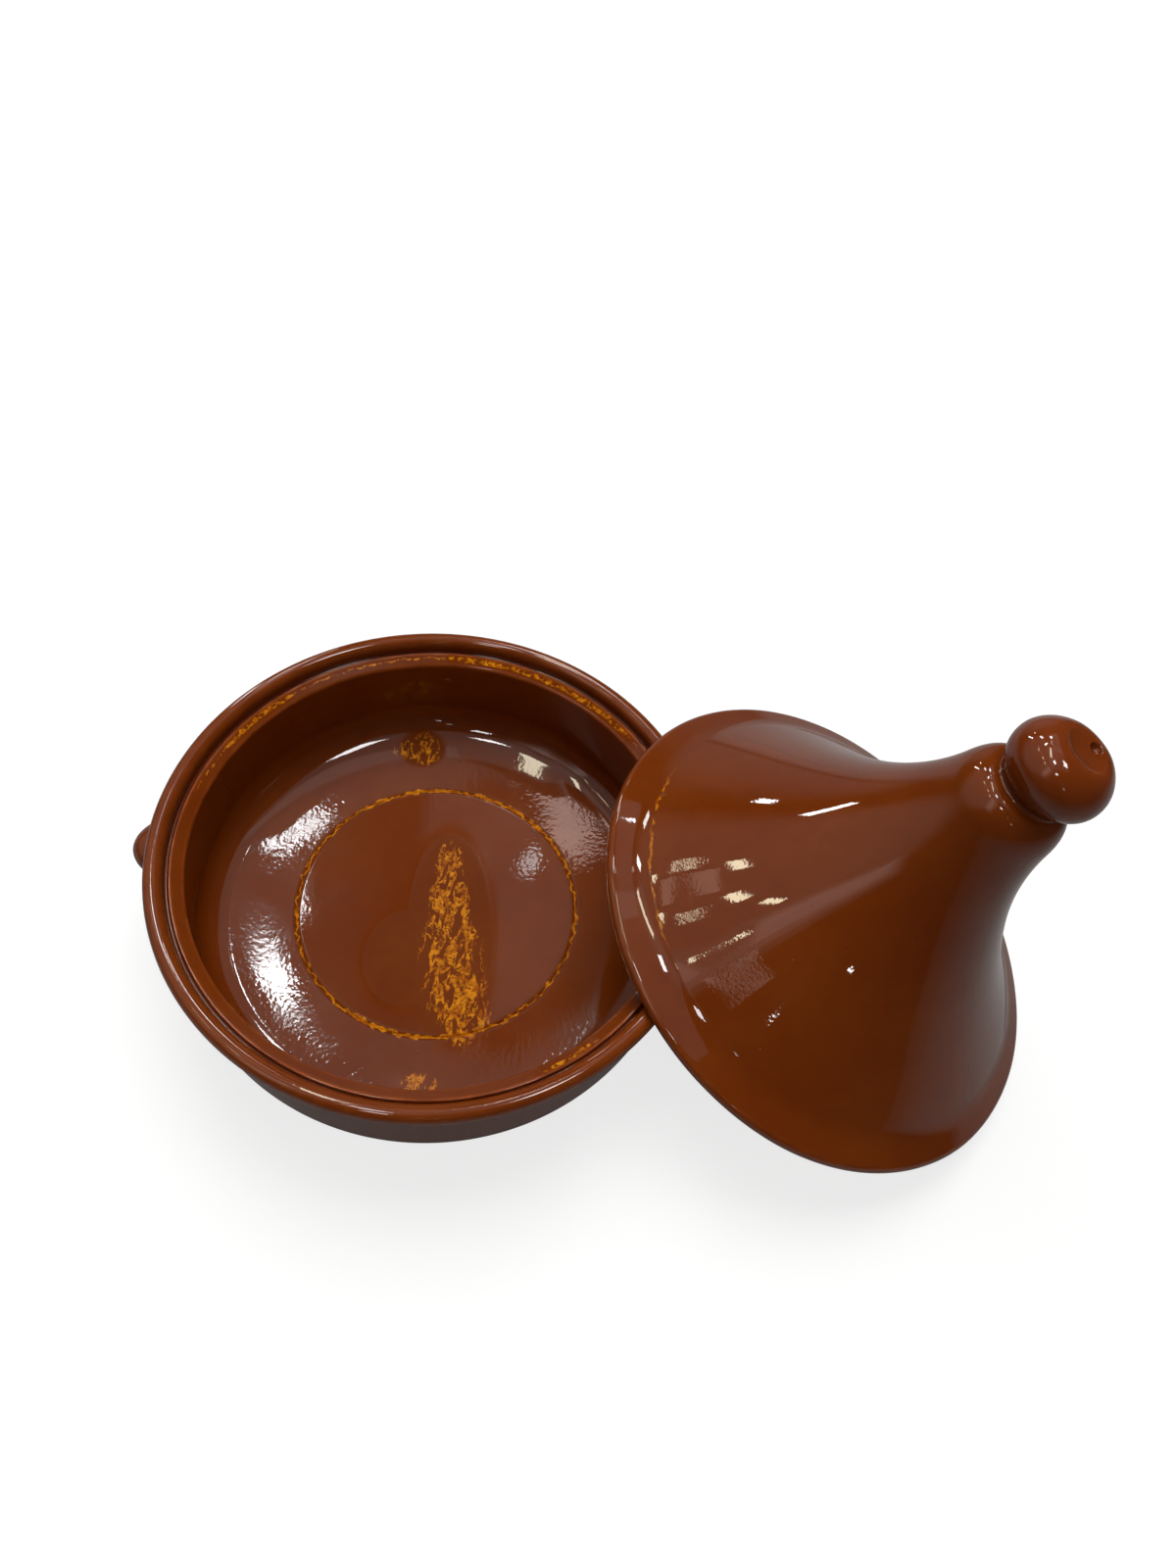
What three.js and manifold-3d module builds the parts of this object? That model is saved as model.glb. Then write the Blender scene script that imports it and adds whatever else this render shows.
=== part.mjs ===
// A glazed earthenware tagine: a round dish with two lugs, and its bell-shaped lid with a knob.
// The lid is off the dish. One side of its lip stands on the table, the other leans on the dish's rim.
// Millimetres, +Z up. The origin is the centre of the dish's flat foot, on the table.
// The dish's axis is Z, and the lid leans over along +X.

import * as THREE from "three";
import { mergeVertices } from "three/addons/utils/BufferGeometryUtils.js";
import Module from "manifold-3d";

// Dish: outside
const dishRadius = 140;
const dishHeight = 79;
const beadRadius = 4.5;
const wallInset = 8;
const footCorner = 24;

// Dish: the lid's seat inside the bead, a narrow groove and then a ledge that falls inwards
const grooveRadius = 1;
const seatRise = 1.6;
const seatCrest = 0.6;
const seatWidth = 6.2;
const seatSlope = 30;
const seatDrop = 8.4;
const rimEdge = 2;

// Dish: inside
const floorThickness = 10.4;
const wallThickness = 8;
const floorCorner = 12;
const floorRise = 6;
const ringRadius = 75.7;
const ringWidth = 1.6;
const ringDepth = 0.5;

// Lugs: two half-moon grips stuck on the wall under the bead, opposite each other
const lugReach = 15;
const lugOffset = 4;
const lugDrop = 21;
const lugWidth = 30;
const lugThickness = 19;
const lugTurn = 4.5;

// Lid: a lip, a low brim, a crease, and a bell that rises to a collar
const lidClearance = 1.4;
const lipRadius = 3.8;
const brimSlope = 26;
const brimWidth = 13.2;
const creaseBlend = 4.65;
const bellSlope = 43;
const bellHandle = 30;
const collarRadius = 28.2;
const collarHeight = 130;
const collarSlope = 79.4;
const collarHandle = 55;
const collarRound = 11;
const crownRise = 15.2;
const neckRadius = 17;
const neckRound = 5;
const hollowDrop = 18;
const hollowDome = 16;

// Knob: a flattened ball on a short stem, with a dished top and a small pit beside its middle
const knobRadius = 24.2;
const knobHalfHeight = 18.4;
const stemInset = 1;
const stemHeight = 1;
const knobRimAngle = 52;
const knobRimWidth = 2;
const knobRimRise = 1;
const knobDish = 1.4;
const pitRadius = 3;
const pitDepth = 2.2;
const pitOffset = 7;
const pitTurn = 30;

// Lean of the lid and the gaps between pieces
const leanOverlap = 56.4;
const steepestLean = 80;
const restGap = 0.3;
const jointGap = 0.3;

// How finely round shapes are cut into flat faces
const flatness = 0.15;
const dishFacets = 60;
const knobFacets = 36;
const lugFacets = 20;
const lugRings = 12;
const pitFacets = 12;
const pitRings = 8;
const creaseSteps = 3;
const bellSteps = 10;
const collarSteps = 5;

// How finely the lean is worked out, and how near two points are to count as one
const leanSamples = 720;
const halvings = 40;
const samePoint = 1e-3;

const degrees = Math.PI / 180;
const at = (radius, height) => new THREE.Vector2(radius, height);

// Points on an arc of an ellipse, from one angle to another in degrees, as many as its flatness needs
function arc(centre, radius, from, to, height = radius) {
  const stepAngle = (2 * Math.acos(1 - Math.min(flatness / radius, 1))) / degrees;
  const steps = Math.ceil(Math.abs(to - from) / stepAngle);
  const curve = new THREE.EllipseCurve(
    centre.x, centre.y, radius, height, from * degrees, to * degrees, to < from,
  );
  return curve.getPoints(steps);
}

// A point at a distance from another, at an angle in degrees
function reach(start, distance, angle) {
  const x = start.x + distance * Math.cos(angle * degrees);
  const y = start.y + distance * Math.sin(angle * degrees);
  return at(x, y);
}

// The lowest value between two limits that passes a test, found by halving
function lowestPassing(low, high, passes) {
  let below = low;
  let above = high;
  for (let step = 0; step < halvings; step += 1) {
    const middle = (below + above) / 2;
    if (passes(middle)) above = middle;
    else below = middle;
  }
  return above;
}

// A solid turned about Z from an outline of radius and height that starts and ends on the axis
function turned(outline, facets) {
  const geometry = new THREE.LatheGeometry(outline, facets);
  geometry.rotateX(Math.PI / 2);
  return geometry;
}

const wasm = await Module();
wasm.setup();

// A closed geometry as a solid that can be cut
function solid(geometry) {
  const bare = geometry.clone();
  bare.deleteAttribute("normal");
  bare.deleteAttribute("uv");
  const merged = mergeVertices(bare, samePoint);
  const vertProperties = merged.attributes.position.array;
  const triVerts = new Uint32Array(merged.index.array);
  return new wasm.Manifold(new wasm.Mesh({ numProp: 3, vertProperties, triVerts }));
}

// What is left of one geometry when another is cut from it
function cut(geometry, tool) {
  const mesh = solid(geometry).subtract(solid(tool)).getMesh();
  const left = new THREE.BufferGeometry();
  left.setAttribute("position", new THREE.BufferAttribute(mesh.vertProperties, 3));
  left.setIndex(new THREE.BufferAttribute(mesh.triVerts, 1));
  left.computeVertexNormals();
  return left;
}

function piece(name, geometry, color, roughness) {
  const material = new THREE.MeshStandardMaterial({ color, roughness, metalness: 0 });
  const mesh = new THREE.Mesh(geometry, material);
  mesh.name = name;
  return mesh;
}

// Dish outline: the bead, the seat inside it, and the floor that rises to the wall
const beadCentre = at(dishRadius - beadRadius, dishHeight - beadRadius);
const beadInside = beadCentre.x - beadRadius;
const wallRadius = dishRadius - wallInset;
const footBend = at(wallRadius - footCorner, footCorner);
const grooveCentre = at(beadInside - grooveRadius, dishHeight - seatDrop + grooveRadius);
const crest = at(grooveCentre.x - grooveRadius - seatCrest, grooveCentre.y - grooveRadius + seatRise);
const boreRadius = crest.x - seatWidth;
const seatFall = Math.tan(seatSlope * degrees) * (seatWidth - rimEdge);
const edgeDrop = rimEdge / Math.cos(seatSlope * degrees);
const edgeCentre = at(boreRadius + rimEdge, crest.y - seatFall - edgeDrop);
const floorCentre = at(wallRadius - wallThickness - floorCorner, 0);
const floorMeets = reach(floorCentre, floorCorner, floorRise - 90);
const slopeHeight = Math.tan(floorRise * degrees) * (floorMeets.x - ringRadius - ringWidth / 2);
floorCentre.y = floorThickness + slopeHeight - floorMeets.y;

// The outside of the dish from the edge of its foot to the top of its bead, grown by a gap
function dishOutside(gap) {
  return [
    ...arc(footBend, footCorner + gap, -90, 0),
    ...arc(beadCentre, beadRadius + gap, -90, 90),
  ];
}

function dishGeometry() {
  const outline = [
    at(0, 0),
    ...dishOutside(0),
    ...arc(beadCentre, beadRadius, 90, 180).slice(1),
    ...arc(grooveCentre, grooveRadius, 0, -180),
    crest,
    ...arc(edgeCentre, rimEdge, 90 + seatSlope, 180),
    ...arc(floorCentre, floorCorner, 0, floorRise - 90),
    at(ringRadius + ringWidth / 2, floorThickness),
    at(ringRadius, floorThickness - ringDepth),
    at(ringRadius - ringWidth / 2, floorThickness),
    at(0, floorThickness),
  ];
  return turned(outline, dishFacets);
}

// A half-moon lug, cut to the curve of the wall with the joint's gap
function lugGeometry(azimuth) {
  const nub = new THREE.SphereGeometry(1, lugFacets, lugRings);
  nub.scale(lugReach, lugWidth / 2, lugThickness / 2);
  nub.translate(wallRadius + lugOffset, 0, dishHeight - lugDrop);
  nub.rotateZ(azimuth * degrees);
  const filled = [at(0, -jointGap), ...dishOutside(jointGap), at(0, dishHeight + jointGap)];
  return cut(nub, turned(filled, dishFacets));
}

// Lid outline, with heights measured from the middle of its lip
const lidRadius = beadInside - lidClearance;
const lipCentre = at(lidRadius - lipRadius, 0);
const brimStart = reach(lipCentre, lipRadius, 90 - brimSlope);
const crease = reach(brimStart, brimWidth, 180 - brimSlope);
const creaseStart = reach(crease, creaseBlend, -brimSlope);
const bellStart = reach(crease, creaseBlend, 180 - bellSlope);
const bellEnd = at(collarRadius, collarHeight);
const crownHeight = collarHeight + crownRise;
const hollowTop = collarHeight - hollowDrop;
const creaseCurve = new THREE.QuadraticBezierCurve(creaseStart, crease, bellStart);
const bellCurve = new THREE.CubicBezierCurve(
  bellStart,
  reach(bellStart, bellHandle, 180 - bellSlope),
  reach(bellEnd, collarHandle, -collarSlope),
  bellEnd,
);
const collarCurve = new THREE.CubicBezierCurve(
  bellEnd,
  reach(bellEnd, collarRound, 180 - collarSlope),
  at(neckRadius + neckRound, crownHeight),
  at(neckRadius, crownHeight),
);

// The point on the hollow side of the wall, which is as thick as the lip is, across from one on a curve
function across(curve, share) {
  const along = curve.getTangent(share);
  const inward = at(-along.y, along.x).multiplyScalar(2 * lipRadius);
  return curve.getPoint(share).add(inward);
}

// The hollow side of the lid from its brim up to the middle of its domed top
function hollowOutline() {
  const end = lowestPassing(0, 1, (share) => across(bellCurve, share).y > hollowTop);
  const points = [];
  for (let step = 0; step < creaseSteps; step += 1) {
    points.push(across(creaseCurve, step / creaseSteps));
  }
  for (let step = 0; step < bellSteps; step += 1) {
    points.push(across(bellCurve, (end * step) / bellSteps));
  }
  const top = across(bellCurve, end);
  return [...points, ...arc(at(0, top.y), top.x, 0, 90, hollowDome)];
}

function lidGeometry() {
  const outline = [
    ...hollowOutline().reverse(),
    ...arc(lipCentre, lipRadius, 270 - brimSlope, 450 - brimSlope),
    ...creaseCurve.getPoints(creaseSteps),
    ...bellCurve.getPoints(bellSteps).slice(1),
    ...collarCurve.getPoints(collarSteps).slice(1),
    at(0, crownHeight),
  ];
  return turned(outline, dishFacets);
}

// Knob, in the lid's frame, standing on the crown with the joint's gap under it
function knobGeometry() {
  const stemRadius = neckRadius - stemInset;
  const stemFoot = crownHeight + jointGap;
  const stemAngle = -Math.acos(stemRadius / knobRadius);
  const middle = at(0, stemFoot + stemHeight - knobHalfHeight * Math.sin(stemAngle));
  const ball = arc(middle, knobRadius, stemAngle / degrees, knobRimAngle, knobHalfHeight);
  const rim = ball[ball.length - 1];
  const rimTop = at(rim.x - knobRimWidth, rim.y + knobRimRise);
  const face = at(0, rimTop.y - knobDish);
  const halfway = at(rimTop.x / 2, face.y + knobDish / 4);
  const outline = [at(0, stemFoot), at(stemRadius, stemFoot), ...ball, rimTop, halfway, face];
  const pit = new THREE.SphereGeometry(1, pitFacets, pitRings);
  pit.scale(pitRadius, pitRadius, pitDepth);
  const aside = reach(at(0, 0), pitOffset, pitTurn);
  pit.translate(aside.x, aside.y, halfway.y);
  return cut(turned(outline, knobFacets), pit);
}

// Where the lid stands at one angle of lean: its far edge on the table, its near edge over the rim
function lidPlace(lean) {
  const halfSpan = lipCentre.x * Math.cos(lean);
  const x = dishRadius - leanOverlap + lipRadius + halfSpan;
  const z = restGap + lipRadius + lipCentre.x * Math.sin(lean);
  return new THREE.Vector3(x, 0, z);
}

// Whether the lip passes above the dish's bead all the way round at one angle of lean
function clearsBead(lean) {
  const place = lidPlace(lean);
  const apart = beadRadius + lipRadius + restGap;
  for (let sample = 0; sample <= leanSamples; sample += 1) {
    const turn = (Math.PI * sample) / leanSamples;
    const along = lipCentre.x * Math.cos(turn);
    const x = place.x + along * Math.cos(lean);
    const z = place.z - along * Math.sin(lean);
    const aside = Math.hypot(x, lipCentre.x * Math.sin(turn)) - beadCentre.x;
    const needed = Math.sqrt(Math.max(apart * apart - aside * aside, 0));
    if (Math.abs(aside) < apart && z < beadCentre.y + needed) return false;
  }
  return true;
}

const dish = new THREE.Group();
dish.add(piece("dish", dishGeometry(), 0x73391f, 0.16));
dish.add(piece("lug_right", lugGeometry(lugTurn), 0x73391f, 0.16));
dish.add(piece("lug_left", lugGeometry(lugTurn + 180), 0x73391f, 0.16));

// The lid leans no further than it must to clear the bead
const lean = lowestPassing(0, steepestLean * degrees, clearsBead);
const lid = new THREE.Group();
lid.add(piece("lid", lidGeometry(), 0x65300f, 0.12));
lid.add(piece("lid_knob", knobGeometry(), 0x65331c, 0.14));
lid.rotation.y = lean;
lid.position.copy(lidPlace(lean));

const tagine = new THREE.Group();
tagine.add(dish, lid);

export default tagine;
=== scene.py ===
# %% [markdown]
# A glazed tagine, one piece at a time.
#
# A tagine is a pot in two loose pieces: a low round dish, and a bell-shaped lid with a ball knob. Both are
# thrown on a wheel, so nearly every surface is an outline turned round an axis. This lesson turns each
# outline into a fine mesh, bends it a little as a hand would, and then spends most of its effort on the
# glaze. The first step loads the measured model. It stays as it is, and each fine piece below takes a
# node's place.

# %% Load the measured model
import math
import bpy
import numpy as np
from mathutils import Matrix, Vector, noise


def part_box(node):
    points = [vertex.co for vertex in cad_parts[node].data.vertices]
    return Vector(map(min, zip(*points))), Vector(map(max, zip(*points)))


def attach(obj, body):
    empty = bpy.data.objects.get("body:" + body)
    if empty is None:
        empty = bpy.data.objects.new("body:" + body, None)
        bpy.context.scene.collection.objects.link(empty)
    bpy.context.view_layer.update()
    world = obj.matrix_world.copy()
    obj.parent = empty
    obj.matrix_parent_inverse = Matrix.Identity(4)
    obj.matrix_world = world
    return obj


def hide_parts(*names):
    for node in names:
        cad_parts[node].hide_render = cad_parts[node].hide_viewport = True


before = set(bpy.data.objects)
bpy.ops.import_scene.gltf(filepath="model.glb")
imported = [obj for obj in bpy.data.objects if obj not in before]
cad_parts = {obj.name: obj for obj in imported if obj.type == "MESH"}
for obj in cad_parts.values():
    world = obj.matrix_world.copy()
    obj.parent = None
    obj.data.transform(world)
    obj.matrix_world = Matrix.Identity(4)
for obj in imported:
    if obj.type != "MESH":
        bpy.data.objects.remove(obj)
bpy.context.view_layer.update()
print("nodes:", sorted(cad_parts))

# %% [markdown]
# Blender works in metres and a potter in millimetres, so one factor turns one into the other. The rim's
# radius and height could be typed in, but they are read from the measured dish, so that the sizes set
# against them further down can't drift away from it.

# %% Sizes that all the pieces share
mm = 0.001
dish_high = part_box("dish")[1]
rim_radius = dish_high.x / mm
rim_height = dish_high.z / mm
print(f"rim radius {rim_radius:.1f} mm, rim height {rim_height:.1f} mm")

# %% [markdown]
# The camera comes first, because every later choice is judged through it. It looks down steeply from the
# front, a little turned and rolled, as a phone in the hand is. It could be aimed by a Track To constraint,
# but that leaves no roll, so its three axes are worked out and set as one matrix. Its lens follows from
# how many pixels one unit of slope takes up in a picture 1600 pixels tall, on a sensor whose long side is
# 36 mm.

# %% Camera
view_azimuth = math.radians(-4.24)
view_elevation = math.radians(55.14)
view_roll = math.radians(10.65)
eye = Vector((48.1, -279.4, 546.7)) * mm
picture_height = 1600
pixels_per_slope = 1110

forward = Vector((
    -math.sin(view_azimuth) * math.cos(view_elevation),
    math.cos(view_azimuth) * math.cos(view_elevation),
    -math.sin(view_elevation),
))
level = Vector((math.cos(view_azimuth), math.sin(view_azimuth), 0))
upright = level.cross(forward)
across = level * math.cos(view_roll) + upright * math.sin(view_roll)
upward = upright * math.cos(view_roll) - level * math.sin(view_roll)

camera = bpy.data.objects.new("camera", bpy.data.cameras.new("camera"))
camera.data.lens = camera.data.sensor_width * pixels_per_slope / picture_height
camera.data.clip_start = 0.01
camera.matrix_world = Matrix.Translation(eye) @ Matrix((across, upward, -forward)).transposed().to_4x4()
bpy.context.scene.collection.objects.link(camera)
bpy.context.scene.camera = camera
bpy.context.scene.view_settings.view_transform = "Standard"
print(f"lens {camera.data.lens:.2f} mm, eye {[round(v, 3) for v in eye]}")

# %% [markdown]
# A small kit for nodes. A finish in Blender is a graph of nodes. It could be wired link by link, but that
# hides the idea behind the plumbing. This class adds a node with each call and gives back its output, so a
# finish reads as a recipe. The room's light further down is such a graph too, and uses the same kit.
# Colours are written as they look on a screen, 0 to 255, and turned into the linear light that shaders
# need.

# %% Node kit
def screen(red, green, blue):
    """A colour as it looks on a screen, as linear light."""
    shares = [value / 255 for value in (red, green, blue)]
    light = [s / 12.92 if s <= 0.04045 else ((s + 0.055) / 1.055) ** 2.4 for s in shares]
    return (*light, 1.0)


class Graph:
    """A tree of nodes being wired: each method adds a node and gives back its output."""

    def __init__(self, tree):
        self.tree = tree

    def add(self, kind, **settings):
        node = self.tree.nodes.new(kind)
        for name, value in settings.items():
            setattr(node, name, value)
        return node

    def feed(self, socket, value):
        """Links an output to a socket, or sets the socket to a plain value."""
        if isinstance(value, bpy.types.NodeSocket):
            self.tree.links.new(value, socket)
        else:
            socket.default_value = value

    def reckon(self, operation, first, second=0.0):
        node = self.add("ShaderNodeMath", operation=operation)
        self.feed(node.inputs[0], first)
        self.feed(node.inputs[1], second)
        return node.outputs[0]

    def plus(self, first, second):
        return self.reckon("ADD", first, second)

    def minus(self, first, second):
        return self.reckon("SUBTRACT", first, second)

    def times(self, first, second):
        return self.reckon("MULTIPLY", first, second)

    def over(self, first, second):
        return self.reckon("DIVIDE", first, second)

    def larger(self, first, second):
        return self.reckon("MAXIMUM", first, second)

    def size(self, value):
        """A number without its sign."""
        return self.reckon("ABSOLUTE", value)

    def fade(self, value, start, end, low=0.0, high=1.0):
        """A smooth step from low at start to high at end."""
        node = self.add("ShaderNodeMapRange", interpolation_type="SMOOTHSTEP")
        for socket, number in zip(node.inputs, (value, start, end, low, high)):
            self.feed(socket, number)
        return node.outputs[0]

    def blend(self, share, first, second):
        """A colour that goes from the first to the second as share goes from 0 to 1."""
        node = self.add("ShaderNodeMix", data_type="RGBA")
        for index, value in ((0, share), (6, first), (7, second)):
            self.feed(node.inputs[index], value)
        return node.outputs[2]

    def seen(self):
        """1 for rays from the camera, straight or through glass, and 0 for rays from other surfaces."""
        rays = self.add("ShaderNodeLightPath").outputs
        return self.larger(rays["Is Camera Ray"], rays["Is Transmission Ray"])


print("screen brown (112, 43, 9) is", [round(v, 4) for v in screen(112, 43, 9)])

# %% [markdown]
# A finish is a graph that ends in Blender's Principled shader. It needs to know where on the piece it is.
# Object coordinates would do for a piece that stands upright, but the lid leans. So a thrown piece stores
# where each point was on its own wheel, and its finish stays put however the piece leans.

# %% Finish kit
class Finish(Graph):
    """A material being mixed."""

    def __init__(self, name, thrown=True):
        self.material = bpy.data.materials.new(name)
        self.material.use_nodes = True
        super().__init__(self.material.node_tree)
        self.shader = self.tree.nodes["Principled BSDF"]
        if thrown:
            self.place = self.add("ShaderNodeAttribute", attribute_name="thrown_at").outputs["Vector"]
        else:
            self.place = self.add("ShaderNodeTexCoord").outputs["Object"]

    def set(self, name, value):
        self.feed(self.shader.inputs[name], value)

    def stored(self, name):
        """A number that the piece stores on its vertices."""
        return self.add("ShaderNodeAttribute", attribute_name=name).outputs["Fac"]

    def stretched(self, x, y, z):
        node = self.add("ShaderNodeVectorMath", operation="MULTIPLY")
        self.feed(node.inputs[0], self.place)
        node.inputs[1].default_value = (x, y, z)
        return node.outputs[0]

    def axes(self):
        node = self.add("ShaderNodeSeparateXYZ")
        self.feed(node.inputs[0], self.place)
        return node.outputs

    def from_axis(self):
        """How far a point lies from the axis of its wheel."""
        node = self.add("ShaderNodeVectorMath", operation="LENGTH")
        self.feed(node.inputs[0], self.stretched(1, 1, 0))
        return node.outputs["Value"]

    def grain(self, size, detail=2.0, place=None, twist=0.0):
        """Soft noise about 0.5, with lumps of about one size; twist draws them out into threads."""
        node = self.add("ShaderNodeTexNoise")
        self.feed(node.inputs["Vector"], place or self.place)
        node.inputs["Scale"].default_value = 1 / size
        node.inputs["Detail"].default_value = detail
        node.inputs["Distortion"].default_value = twist
        return node.outputs["Fac"]

    def specks(self, spacing, radius):
        """1 inside small round specks that lie about one spacing apart."""
        node = self.add("ShaderNodeTexVoronoi")
        self.feed(node.inputs["Vector"], self.place)
        node.inputs["Scale"].default_value = 1 / spacing
        return self.fade(node.outputs["Distance"], 1.4 * radius / spacing, 0.6 * radius / spacing)

    def relief(self, height, depth, below=None):
        """Bump, with a height of 0 to 1 standing for so many metres."""
        node = self.add("ShaderNodeBump")
        node.inputs["Distance"].default_value = depth
        self.feed(node.inputs["Height"], height)
        if below is not None:
            self.feed(node.inputs["Normal"], below)
        return node.outputs[0]


print("kit for finishes:", [name for name in vars(Finish) if not name.startswith("_")])

# %% [markdown]
# The table is a wide pale sheet. It has to look white to the camera and still take the pot's shadow. More
# lamps would bleach the pot along with it, so the sheet is a grey matt surface that also glows, fully for
# what the camera sees and a little for mirror rays. The glow lifts the lit table to white and adds no
# light to the pot. Away from the pot the grey goes dark and the glow makes up for it, so the glaze mirrors
# a soft edge there and not a hard horizon.

# %% Table
table_half = 3.0
table_drop = 0.2 * mm
table_middle = (-0.1, 0.4, 0)
grey_until = 0.5
dark_from = 1.5
glow_near = 0.76
glow_far = 1.0
glow_mirrored = 0.05

table_mesh = bpy.data.meshes.new("table")
corners = [(x * table_half, y * table_half, -table_drop) for x, y in ((-1, -1), (1, -1), (1, 1), (-1, 1))]
table_mesh.from_pydata(corners, [], [(0, 1, 2, 3)])
table = bpy.data.objects.new("table", table_mesh)
bpy.context.scene.collection.objects.link(table)

paper = Finish("table_white", thrown=False)
from_middle = paper.add("ShaderNodeVectorMath", operation="DISTANCE")
paper.feed(from_middle.inputs[0], paper.place)
paper.feed(from_middle.inputs[1], table_middle)
far_off = paper.fade(from_middle.outputs["Value"], grey_until, dark_from)
near_grey = paper.blend(paper.grain(4 * mm, 3), screen(146, 146, 145), screen(152, 152, 151))
paper.set("Base Color", paper.blend(far_off, near_grey, screen(95, 95, 94)))
paper.set("Roughness", 0.9)
paper.set("Specular IOR Level", 0.1)
mirrored = paper.add("ShaderNodeLightPath").outputs["Is Glossy Ray"]
lift = paper.times(paper.seen(), paper.fade(far_off, 0.0, 1.0, glow_near, glow_far))
glow = paper.add("ShaderNodeEmission")
paper.feed(glow.inputs["Strength"], paper.plus(lift, paper.times(mirrored, glow_mirrored)))
both = paper.add("ShaderNodeAddShader")
paper.feed(both.inputs[0], paper.shader.outputs[0])
paper.feed(both.inputs[1], glow.outputs[0])
paper.feed(paper.tree.nodes["Material Output"].inputs["Surface"], both.outputs[0])
table_mesh.materials.append(paper.material)
print("table is", 2 * table_half, "m wide")

# %% [markdown]
# Glaze is mostly seen by what it mirrors, so the lamps are chosen by where their reflections fall. A
# picture of a room could be wrapped round the scene, but then no single reflection could be moved. So each
# lamp is a far rectangle, named by the direction it lies in from the pot: azimuth from the back (+Y)
# towards the right (+X), and height above the horizon. Its size is given as an angle too, and its
# brightness as radiance, because that is what a mirror shows. Two wide soft lamps give nearly all the
# light on the clay and are hidden from reflections. All the others show only in reflections.

# %% Soft lamps
pot = Vector((0.08, 0.0, 0.03))
far = 20.0
near_by = 2.4
white = (1.0, 1.0, 1.0)


def direction(azimuth, height):
    """The way towards an azimuth and a height above the horizon, both in degrees."""
    turn = math.radians(azimuth)
    rise = math.radians(height)
    return Vector((math.sin(turn) * math.cos(rise), math.cos(turn) * math.cos(rise), math.sin(rise)))


def lamp(name, azimuth, height, wide, tall, radiance, colour=white, roll=0, aside=0, at=pot, distance=far):
    """A soft rectangle, its angles in degrees; aside=1 puts its left edge on the named direction."""
    away = direction(azimuth, height)
    facing = away.to_track_quat("Z", "Y").to_matrix() @ Matrix.Rotation(math.radians(roll), 3, "Z")
    width = 2 * distance * math.tan(math.radians(wide / 2))
    length = 2 * distance * math.tan(math.radians(tall / 2))
    data = bpy.data.lights.new(name, "AREA")
    data.shape = "RECTANGLE"
    data.size = width
    data.size_y = length
    data.energy = math.pi * width * length * radiance
    data.color = colour
    made = bpy.data.objects.new(name, data)
    rightward = direction(azimuth + 90, 0)
    place = at + away * distance + rightward * (aside * width / 2)
    made.matrix_world = Matrix.Translation(place) @ facing.to_4x4()
    made.visible_diffuse = False
    bpy.context.scene.collection.objects.link(made)
    return made


softbox = lamp("overhead_softbox", -8, 68, 38, 38, 6.0, distance=near_by)
fill = lamp("front_fill", 150, 42, 44, 44, 0.95, distance=near_by)
for soft in (softbox, fill):
    soft.visible_diffuse = True
    soft.visible_glossy = False
print("soft lamps in watts:", round(softbox.data.energy), "and", round(fill.data.energy))

# %% [markdown]
# Behind the pot and overhead: the left edge of a grey panel draws the line down the dish's floor, right of
# which the glaze looks paler. The outer floor is a shallow cone and works like a shaving mirror, so very
# small lamps make broad spots there. The low lamps show on the lid's wall, and the ceiling ones on the
# knob, the rim and the back of the floor. One bright ceiling would be simpler, but the spots have their
# own places and tints.

# %% Lamps behind and overhead
dish_floor = Vector((-0.06, 0.0, 0.012))
cool_white = (0.94, 0.98, 1.0)
warm_white = (1.0, 0.92, 0.68)
pink = (1.0, 0.8, 0.72)

lamp("back_panel", -10.7, 62, 26, 32, 0.42, roll=-3, aside=1, at=dish_floor)
lamp("back_lamp_a", -6.7, 60.75, 1.3, 1.35, 30, cool_white, at=dish_floor)
lamp("back_lamp_b", -5.2, 64.75, 0.6, 1.6, 30, cool_white, 30, at=dish_floor)
lamp("back_lamp_c", -1, 52, 4.5, 5, 26, cool_white, 30, at=dish_floor)
lamp("back_lamp_d", 0.6, 59.6, 0.7, 1.2, 7, roll=-35, at=dish_floor)
lamp("back_glow", -13.6, 64.7, 2.2, 1.7, 4.5, pink, at=dish_floor)
lamp("low_back_a", -23, 23.4, 3.4, 1.2, 26, roll=56)
lamp("low_back_b", -35.2, 23, 2.2, 12, 26, roll=-8)
lamp("crease_lamp", -24, 43, 4, 7, 16)
lamp("ceiling_a", -48, 75.2, 17, 3, 13, warm_white, 27)
lamp("ceiling_b", -125, 80, 5, 5, 22)
lamp("ceiling_c", 104, 75, 10, 7, 20)
lamp("ceiling_row", -31, 60, 6, 3, 26)
lamp("ceiling_panel", -9.6, 90, 38, 38, 0.3)
print("lamps so far:", len(bpy.data.lights))

# %% [markdown]
# At the left and the front: small window panes that the bell mirrors as little squares, a pink strip with
# a bent foot that lies across the lid's front, and small lamps that show as spots on the bell and the lip.
# The strip is three rectangles inside each other, because one alone would have edges as hard as a cut-out.

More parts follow.
